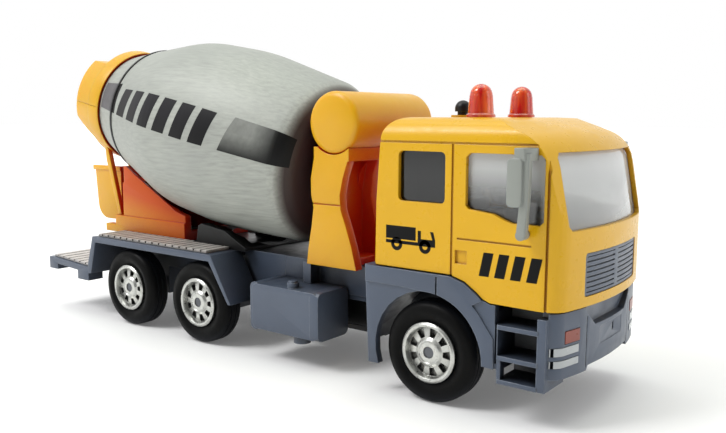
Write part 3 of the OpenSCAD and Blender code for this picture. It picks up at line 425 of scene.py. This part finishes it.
RUBBER, GLASS, RED, DRUM, INK = rubber(), glazing(), beacon_red(), drum_paint(), ink()
TREAD = tread_plate("tread_plate", srgb(176, 171, 165), srgb(208, 203, 198))
# Painted light: a lighter copy of the tread plate for the platform, which stands in full light
PLATFORM_PAINTED_LIGHT = tread_plate("platform_plate_painted_light", srgb(214, 210, 207), srgb(240, 237, 234))

BY_SLOT = {
    "slate_plastic": slate,
    "black_plastic": black,
    "tread_plate": TREAD,
    "cell_steel": cell,
    "steel": steel,
    "yellow_paint": paint,
    "yellow_plastic": yellow,
    "clear_glazing": GLASS,
    "lamp_white": lamp,
    "lamp_orange": orange,
    "grey_plastic": mirror,
    "red_lens": RED,
    "led": led,
    "circuit": circuit,
    "drum_silver": DRUM,
    "hub_chrome": chrome,
    "tyre_rubber": RUBBER,
}

BY_NODE = {"platform_tread": PLATFORM_PAINTED_LIGHT, "rear_pedestal": pedestal_plastic(), "drum_tower": tower_yellow}

# Width in mm of the rounded edges on moulded pieces
SOFT_EDGES = {
    "drum_tower": 0.9,
    "water_tank": 0.9,
    "hopper_hood": 0.5,
    "hopper_cradle": 0.4,
    "chute": 0.4,
    "rear_pedestal": 0.5,
    "side_tank_right": 0.35,
    "side_tank_left": 0.35,
    "mirror_right": 0.3,
    "mirror_left": 0.3,
    "cab_base": 0.22,
    "rear_deck": 0.2,
}

SPLIT_ANGLE, BEVEL_ANGLE, FLAT_ANGLE = math.radians(24), math.radians(32), math.radians(0.6)

slot_of = {s["node"]: s["material_slot"] for s in frame["record"]["subparts"]}
for name, ob in nodes.items():
    ob.data.materials.clear()
    ob.data.materials.append(BY_NODE.get(name, BY_SLOT[slot_of[name]]).mat)
    ob.data.polygons.foreach_set("use_smooth", [True] * len(ob.data.polygons))
    weld = ob.modifiers.new("weld", "WELD")
    weld.merge_threshold = 0.001 * MM
    if name in SOFT_EDGES:
        flat = ob.modifiers.new("flat", "DECIMATE")
        flat.decimate_type = "DISSOLVE"
        flat.angle_limit = FLAT_ANGLE
        bevel = ob.modifiers.new("bevel", "BEVEL")
        bevel.width = SOFT_EDGES[name] * MM
        bevel.segments = 3
        bevel.limit_method = "ANGLE"
        bevel.angle_limit = BEVEL_ANGLE
        bevel.miter_outer = "MITER_ARC"
    split = ob.modifiers.new("split", "EDGE_SPLIT")
    split.split_angle = SPLIT_ANGLE


# ---- new pieces ----


def finish_piece(name, bm, material, body, smooth=True):
    """Object from a bmesh, riding on a body."""
    mesh = bpy.data.meshes.new(name)
    bm.normal_update()
    bm.to_mesh(mesh)
    bm.free()
    mesh.materials.append(material.mat)
    for p in mesh.polygons:
        p.use_smooth = smooth
    ob = bpy.data.objects.new(name, mesh)
    bpy.context.scene.collection.objects.link(ob)
    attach(ob, body)
    return ob


def on_drum(s, r, a):
    """Point at station s and radius r in mm, turned a from the top towards the truck's right."""
    return SEAM + SPIN * (s * MM) + (OUT * math.cos(a) - Vector((0, 1, 0)) * math.sin(a)) * (r * MM)


def softened(points, reach):
    """A profile whose inner corners are rounded over reach mm."""
    out = [points[0]]
    for a, b, c in zip(points, points[1:], points[2:]):
        a, b, c = Vector(a), Vector(b), Vector(c)
        k1, k2 = min(reach / (a - b).length, 0.45), min(reach / (c - b).length, 0.45)
        p, q = b.lerp(a, k1), b.lerp(c, k2)
        for i in range(6):
            t = i / 5
            out.append(tuple(p.lerp(b, t).lerp(b.lerp(q, t), t)))
    out.append(points[-1])
    return out


# Outer profiles as (station, radius) in mm, stations from the seam towards the cab
BARREL = [
    (0.06, 19.3),
    (20, 24.8),
    (40, 25.2),
    (66, 21.7),
    (68.8, 20.4),
    (71, 17.4),
    (71.9, 13.4),
    (72.2, 9),
    (72.2, 4.2),
]
MOUTH = [(-13, 15), (-10.7, 15), (-10.5, 16.2), (-0.06, 19.3)]
# Thickness of the drum's wall in mm
WALL = 1.2
BARREL_SOFT = softened(BARREL[:4], 5)[:-1] + softened(BARREL[3:], 1.2)


def barrel_radius(s):
    """Outer radius of the drum at station s, in mm."""
    line = MOUTH if s < 0 else BARREL_SOFT
    for (s0, r0), (s1, r1) in zip(line, line[1:]):
        if s0 <= s <= s1 and s1 > s0:
            return r0 + (r1 - r0) * (s - s0) / (s1 - s0)
    return line[-1][1] if s > line[0][0] else line[0][1]


def lathe(name, profile, material, body, steps=192):
    """Closed profile of (station, radius) turned about the drum's axis."""
    bm = bmesh.new()
    rings = [
        [bm.verts.new(on_drum(s, r, 2 * math.pi * k / steps)) for k in range(steps)] for s, r in profile
    ]
    for a, b in zip(rings, rings[1:] + rings[:1]):
        for k in range(steps):
            m = (k + 1) % steps
            bm.faces.new((a[k], b[k], b[m], a[m]))
    bmesh.ops.recalc_face_normals(bm, faces=bm.faces[:])
    ob = finish_piece(name, bm, material, body)
    split = ob.modifiers.new("split", "EDGE_SPLIT")
    split.split_angle = math.radians(35)
    return ob


# The boss round the spindle, then the inside of the front end
front_inside = [(75.4, 4.2), (75.4, 1.53), (70.8, 1.53), (70.4, 12.6)]
front_inside += [(69.6, 16.4), (67.9, 19.3), (65.4, 20.5)]
shell = BARREL_SOFT + front_inside + [(s, r - WALL) for s, r in reversed(BARREL_SOFT[:14])]
barrel = lathe("drum_barrel_skin", shell, DRUM, "drum")
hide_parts("drum_barrel")

cone = [(-13, 15), (-10.75, 15), (-10.5, 16.2), (-0.06, 19.3)]
cone += [(-0.46, 17.9), (-10.1, 15.0), (-10.7, 13.8), (-13, 13.8)]
mouth = lathe("drum_mouth_skin", cone, DRUM, "drum")
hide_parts("drum_mouth")


def print_patch(name, s_top, s_low, a_top, a_low, material, side=1, lift=0.03):
    """Printed patch on the drum between two slanted ends. Stations in mm, angles in degrees."""
    cols, rows = max(16, int(4 * (s_top[1] - s_top[0]))), 10
    bm = bmesh.new()
    grid = []
    for j in range(rows + 1):
        v = j / rows
        a = math.radians(a_top + (a_low - a_top) * v)
        lo = s_top[0] + (s_low[0] - s_top[0]) * v
        hi = s_top[1] + (s_low[1] - s_top[1]) * v
        row = []
        for i in range(cols + 1):
            s = lo + (hi - lo) * i / cols
            row.append(bm.verts.new(on_drum(s, barrel_radius(s) + lift, a * side)))
        grid.append(row)
    for j in range(rows):
        for i in range(cols):
            bm.faces.new((grid[j][i], grid[j][i + 1], grid[j + 1][i + 1], grid[j + 1][i]))
    if side < 0:
        bmesh.ops.reverse_faces(bm, faces=bm.faces[:])
    return finish_piece(name, bm, material, "drum")


def drum_prints(side, tag):
    """A bar at each end of the drum with six slanted blocks between them."""
    print_patch("print_front_bar_" + tag, (53.4, 70.4), (50.5, 70.4), 66, 88.5, PAINTED_SHEEN_PRINT_FRONT, side)
    print_patch("print_rear_bar_" + tag, (-8.9, -0.1), (-8.9, -0.1), 62.7, 88.6, PAINTED_SHEEN_PRINT_REAR, side)
    print_patch("print_rear_end_" + tag, (0.4, 2.2), (0.4, 2.0), 62.7, 88.6, INK, side)
    for k in range(6):
        s0 = BLOCK_START + k * BLOCK_PITCH
        top, low = (s0 + 1.3, s0 + 6.3), (s0 - 0.9, s0 + 4.1)
        print_patch("print_block_%s_%d" % (tag, k), top, low, 66.8, 88.6, PAINTED_SHEEN_PRINT_BLOCK, side)


# Station of the first block and the step to the next, in mm
BLOCK_START, BLOCK_PITCH = 4.6, 7.35
# Prints with a painted highlight
PAINTED_SHEEN_PRINT_FRONT = painted_sheen_print("painted_sheen_print_front", srgb(150, 152, 147), (60, 67), (5.5, 0.4))
PAINTED_SHEEN_PRINT_REAR = painted_sheen_print("painted_sheen_print_rear", srgb(120, 119, 122), (-3, 3), (0, -9))
PAINTED_SHEEN_PRINT_BLOCK = painted_sheen_print("painted_sheen_print_block", srgb(62, 61, 64), (20, 60), (6, 0))

drum_prints(1, "right")
drum_prints(-1, "left")


# The cab's side and the height of a print above it, in mm
CAB_SIDE, PRINT_LIFT = 23, 0.015


def flat_print(name, shapes, side):
    """Printed shapes on the cab's side, each a list of X and Z in mm."""
    y = side * (CAB_SIDE + PRINT_LIFT) * MM
    bm = bmesh.new()
    for shape in shapes:
        verts = [bm.verts.new((x * MM, y, z * MM)) for x, z in shape]
        bm.faces.new(verts)
    bmesh.ops.triangulate(bm, faces=bm.faces[:])
    for f in bm.faces:
        f.normal_update()
        if f.normal.y * side < 0:
            f.normal_flip()
    return finish_piece(name, bm, INK, "truck", smooth=False)


def ring(cx, cz, r, hole, n=28):
    """A washer as quads."""
    out = []
    for k in range(n):
        a, b = 2 * math.pi * k / n, 2 * math.pi * (k + 1) / n
        out.append(
            [
                (cx + r * math.cos(a), cz + r * math.sin(a)),
                (cx + r * math.cos(b), cz + r * math.sin(b)),
                (cx + hole * math.cos(b), cz + hole * math.sin(b)),
                (cx + hole * math.cos(a), cz + hole * math.sin(a)),
            ]
        )
    return out


def slanted_bars(x0, z0, z1, count, width, pitch, lean):
    """Upright bars in a row, each leaning forward at the top."""
    return [
        [
            (x0 + k * pitch, z0),
            (x0 + k * pitch + width, z0),
            (x0 + k * pitch + width + lean, z1),
            (x0 + k * pitch + lean, z1),
        ]
        for k in range(count)
    ]


def lorry_sign(x0, z0):
    """A plain lorry sign, 12.6 mm long: body, cab with a window, two wheels."""
    body = [[(x0, z0 + 2.4), (x0 + 7.6, z0 + 2.4), (x0 + 7.6, z0 + 5.2), (x0, z0 + 5.2)]]
    frame_bar = [[(x0, z0 + 1.4), (x0 + 12.4, z0 + 1.4), (x0 + 12.4, z0 + 2.1), (x0, z0 + 2.1)]]
    cab = [
        [(x0 + 8.1, z0 + 2.1), (x0 + 12.4, z0 + 2.1), (x0 + 12.4, z0 + 2.9), (x0 + 8.1, z0 + 2.9)],
        [(x0 + 8.1, z0 + 2.9), (x0 + 8.9, z0 + 2.9), (x0 + 8.9, z0 + 4.6), (x0 + 8.1, z0 + 4.6)],
        [(x0 + 11.7, z0 + 2.9), (x0 + 12.4, z0 + 2.9), (x0 + 11.9, z0 + 4.6), (x0 + 11.1, z0 + 4.6)],
    ]
    wheels = ring(x0 + 2.8, z0 + 1.35, 1.45, 0.62) + ring(x0 + 9.9, z0 + 1.35, 1.45, 0.62)
    return body + frame_bar + cab + wheels


for side, tag in ((-1, "right"), (1, "left")):
    flat_print("print_door_bars_" + tag, slanted_bars(67.4, 29.2, 34.0, 4, 2.2, 3.4, 1.0), side)
    flat_print("print_lorry_sign_" + tag, lorry_sign(44.8, 32.3), side)


# ---- floor, light, camera ----


def floor_plane():
    """Pale floor, with a glow that grows away from the truck so that it meets the backdrop."""
    bm = bmesh.new()
    half, segments = 4.0, 40
    near = [bm.verts.new((x, y, 0)) for x in (-half, half) for y in (-half, half)]
    bm.faces.new((near[0], near[2], near[3], near[1]))
    bmesh.ops.subdivide_edges(bm, edges=bm.edges[:], cuts=segments, use_grid_fill=True)
    mesh = bpy.data.meshes.new("floor")
    bm.to_mesh(mesh)
    bm.free()
    g = Graph("floor_white")
    tone = g.mix(g.remap(g.noise(6, 2), 0.3, 0.7, 0, 1), (0.86, 0.86, 0.86, 1), (0.88, 0.88, 0.88, 1))
    away = g.add("ShaderNodeVectorMath", operation="LENGTH")
    g.link(g.coord, away.inputs[0])
    glow = g.remap(away.outputs["Value"], 0.2, 0.7, 0.1, 0.6)
    g.set(Base_Color=tone, Roughness=0.75, Emission_Color=(1, 1, 1, 1), Emission_Strength=glow)
    g.bump(g.noise(60, 3), 0.0002, 0.1)
    mesh.materials.append(g.mat)
    ob = bpy.data.objects.new("floor", mesh)
    bpy.context.scene.collection.objects.link(ob)


floor_plane()


def softbox(name, place, target, size, power, tint=(1, 1, 1)):
    """Rectangular area light at a place, turned to a target."""
    lamp_data = bpy.data.lights.new(name, "AREA")
    lamp_data.shape = "RECTANGLE"
    lamp_data.size, lamp_data.size_y = size
    lamp_data.energy = power
    lamp_data.color = tint
    ob = bpy.data.objects.new(name, lamp_data)
    ob.location = place
    ob.rotation_euler = (Vector(target) - Vector(place)).to_track_quat("-Z", "Y").to_euler()
    bpy.context.scene.collection.objects.link(ob)


softbox("key", (-0.38, -0.5, 0.78), (0.0, 0.0, 0.04), (0.35, 0.35), 5.3)
softbox("top", (-0.05, 0.1, 0.9), (0.0, 0.0, 0.0), (0.8, 0.6), 3.0, (0.93, 1.0, 0.9))
softbox("front", (0.9, 0.25, 0.4), (0.06, 0.0, 0.04), (0.5, 0.5), 1.2)

world = bpy.data.worlds.new("studio")
bpy.context.scene.world = world
world.use_nodes = True
tree = world.node_tree
sky = tree.nodes["Background"]
sky.inputs["Strength"].default_value = 1.0
# White all round, falling off to dim grey on the viewer's side
way = tree.nodes.new("ShaderNodeTexCoord").outputs["Generated"]
dot = tree.nodes.new("ShaderNodeVectorMath")
dot.operation = "DOT_PRODUCT"
tree.links.new(way, dot.inputs[0])
dot.inputs[1].default_value = Vector((0.62, -0.76, 0.18)).normalized()
fall = tree.nodes.new("ShaderNodeMapRange")
tree.links.new(dot.outputs["Value"], fall.inputs[0])
for i, v in enumerate((0.0, 0.9, 1.0, 0.15)):
    fall.inputs[i + 1].default_value = v
# The backdrop itself stays white from every side
seen = tree.nodes.new("ShaderNodeLightPath").outputs["Is Camera Ray"]
level = tree.nodes.new("ShaderNodeMath")
level.operation = "MAXIMUM"
tree.links.new(fall.outputs[0], level.inputs[0])
tree.links.new(seen, level.inputs[1])
tree.links.new(level.outputs[0], sky.inputs["Color"])

cam_data = bpy.data.cameras.new("camera")
cam_data.sensor_width = 36
cam_data.lens = 38.84
CAMERA_ROLL = math.radians(0.2)
cam = bpy.data.objects.new("camera", cam_data)
bpy.context.scene.collection.objects.link(cam)
cam_at, cam_to = Vector((0.1415, -0.1581, 0.06059)), Vector((0.0151, 0.00781, 0.03372))
look = (cam_to - cam_at).to_track_quat("-Z", "Y").to_matrix().to_4x4()
cam.matrix_world = Matrix.Translation(cam_at) @ look @ Matrix.Rotation(CAMERA_ROLL, 4, "Z")
cam_data.clip_start, cam_data.clip_end = 0.005, 20
bpy.context.scene.camera = cam
bpy.context.scene.view_settings.view_transform = "Standard"
